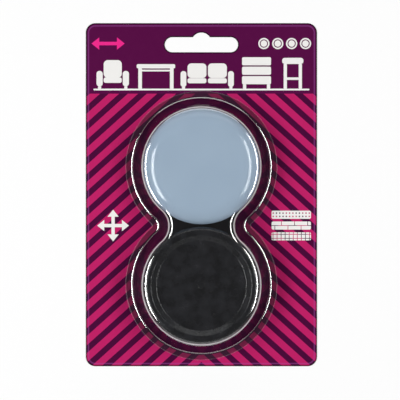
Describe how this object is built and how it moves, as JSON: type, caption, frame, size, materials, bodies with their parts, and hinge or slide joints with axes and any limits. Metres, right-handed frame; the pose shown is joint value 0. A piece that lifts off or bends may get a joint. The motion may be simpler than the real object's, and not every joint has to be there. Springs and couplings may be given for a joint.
{
  "type": "furniture slider pack",
  "caption": "Round furniture sliders, each a hard glide plate bonded to a rubber grip cup, packed in a clear hourglass blister on a hang card.",
  "frame": {"origin": "middle of the card's back face, on the surface that the pack lies on", "axes": "+X across the card, +Y up the card towards the hang slot, +Z out of the card's front"},
  "size_m": [0.12, 0.178, 0.0214],
  "materials": {
    "card": "printed, gloss varnish",
    "seal": "heat-seal coat",
    "clear_shell": "clear thermoformed sheet",
    "glide_plate": "satin moulded polymer",
    "bond_film": "cured adhesive",
    "grip_cup": "fine moulded matt"
  },
  "bodies": {
    "card": {"backing_card": "card", "seal_band": "seal"},
    "lower_rear_slider": {"lower_rear_glide_plate": "glide_plate", "lower_rear_bond_film": "bond_film", "lower_rear_grip_cup": "grip_cup"},
    "upper_rear_slider": {"upper_rear_glide_plate": "glide_plate", "upper_rear_bond_film": "bond_film", "upper_rear_grip_cup": "grip_cup"},
    "lower_front_slider": {"lower_front_glide_plate": "glide_plate", "lower_front_bond_film": "bond_film", "lower_front_grip_cup": "grip_cup"},
    "upper_front_slider": {"upper_front_glide_plate": "glide_plate", "upper_front_bond_film": "bond_film", "upper_front_grip_cup": "grip_cup"},
    "blister": {"blister_shell": "clear_shell"}
  },
  "joints": [
    {"name": "lower_rear_lift", "type": "slide", "parent": "card", "child": "lower_rear_slider", "axis": [0, 0, 1], "range_m": [0, 0.025]},
    {"name": "upper_rear_lift", "type": "slide", "parent": "lower_rear_slider", "child": "upper_rear_slider", "axis": [0, 0, 1], "range_m": [0, 0.025]},
    {"name": "lower_front_lift", "type": "slide", "parent": "upper_rear_slider", "child": "lower_front_slider", "axis": [0, 0, 1], "range_m": [0, 0.025]},
    {"name": "upper_front_lift", "type": "slide", "parent": "lower_front_slider", "child": "upper_front_slider", "axis": [0, 0, 1], "range_m": [0, 0.025]},
    {"name": "blister_lift", "type": "slide", "parent": "upper_front_slider", "child": "blister", "axis": [0, 0, 1], "range_m": [0, 0.04]}
  ]
}
